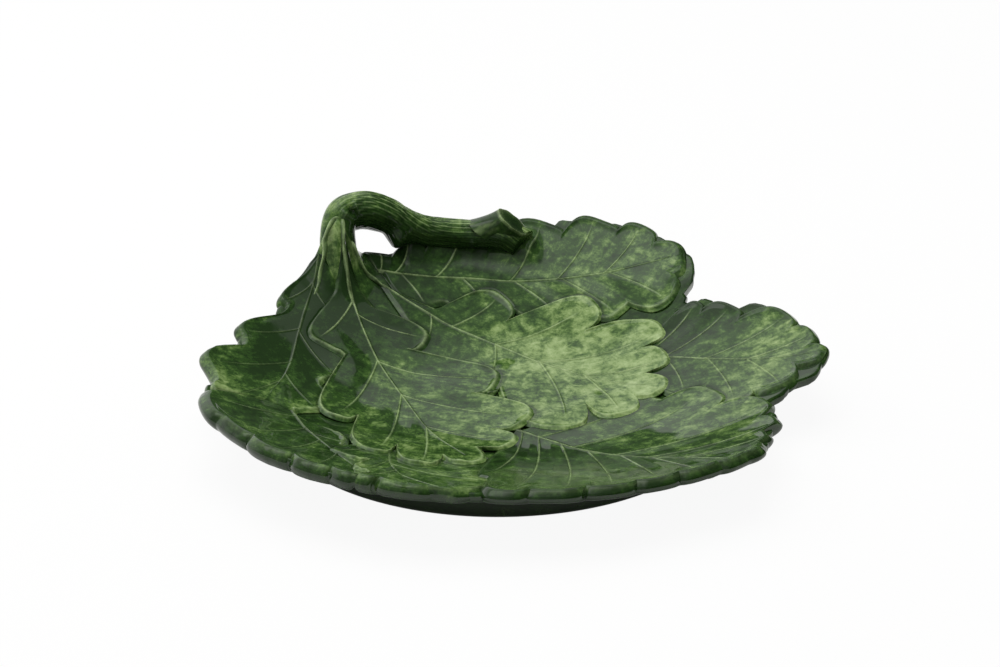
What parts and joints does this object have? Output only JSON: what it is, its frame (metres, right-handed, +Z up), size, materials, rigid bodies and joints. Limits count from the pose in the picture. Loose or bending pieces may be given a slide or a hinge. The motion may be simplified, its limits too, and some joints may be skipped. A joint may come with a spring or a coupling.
{
  "type": "leaf-shaped plate",
  "caption": "Shallow green-glazed earthenware plate of overlapping lobed leaves in relief on a bowl-shaped shell, with a low foot and an arched twig handle over a finger hole.",
  "frame": {"origin": "middle of the bounding box in plan, at the foot's resting plane", "axes": "+X across the plate to the right, +Y from the front rim to the handle side, +Z up"},
  "size_m": [0.2842, 0.2594, 0.0647],
  "materials": {
    "dish_shell": "gloss",
    "foot_ring": "gloss",
    "leaf_right": "gloss",
    "leaf_left": "gloss",
    "leaf_back": "gloss",
    "leaf_front_left": "gloss",
    "leaf_front": "gloss",
    "leaf_front_right": "gloss",
    "leaf_middle": "gloss",
    "leaf_centre": "gloss",
    "twig_handle": "gloss",
    "twig_stub": "gloss",
    "stem_centre": "gloss",
    "stem_left": "gloss",
    "stem_middle": "gloss"
  },
  "bodies": {
    "root": {"dish_shell": "dish_shell", "foot_ring": "foot_ring", "leaf_right": "leaf_right", "leaf_left": "leaf_left", "leaf_back": "leaf_back", "leaf_front_left": "leaf_front_left", "leaf_front": "leaf_front", "leaf_front_right": "leaf_front_right", "leaf_middle": "leaf_middle", "leaf_centre": "leaf_centre", "twig_handle": "twig_handle", "twig_stub": "twig_stub", "stem_centre": "stem_centre", "stem_left": "stem_left", "stem_middle": "stem_middle"}
  },
  "joints": []
}
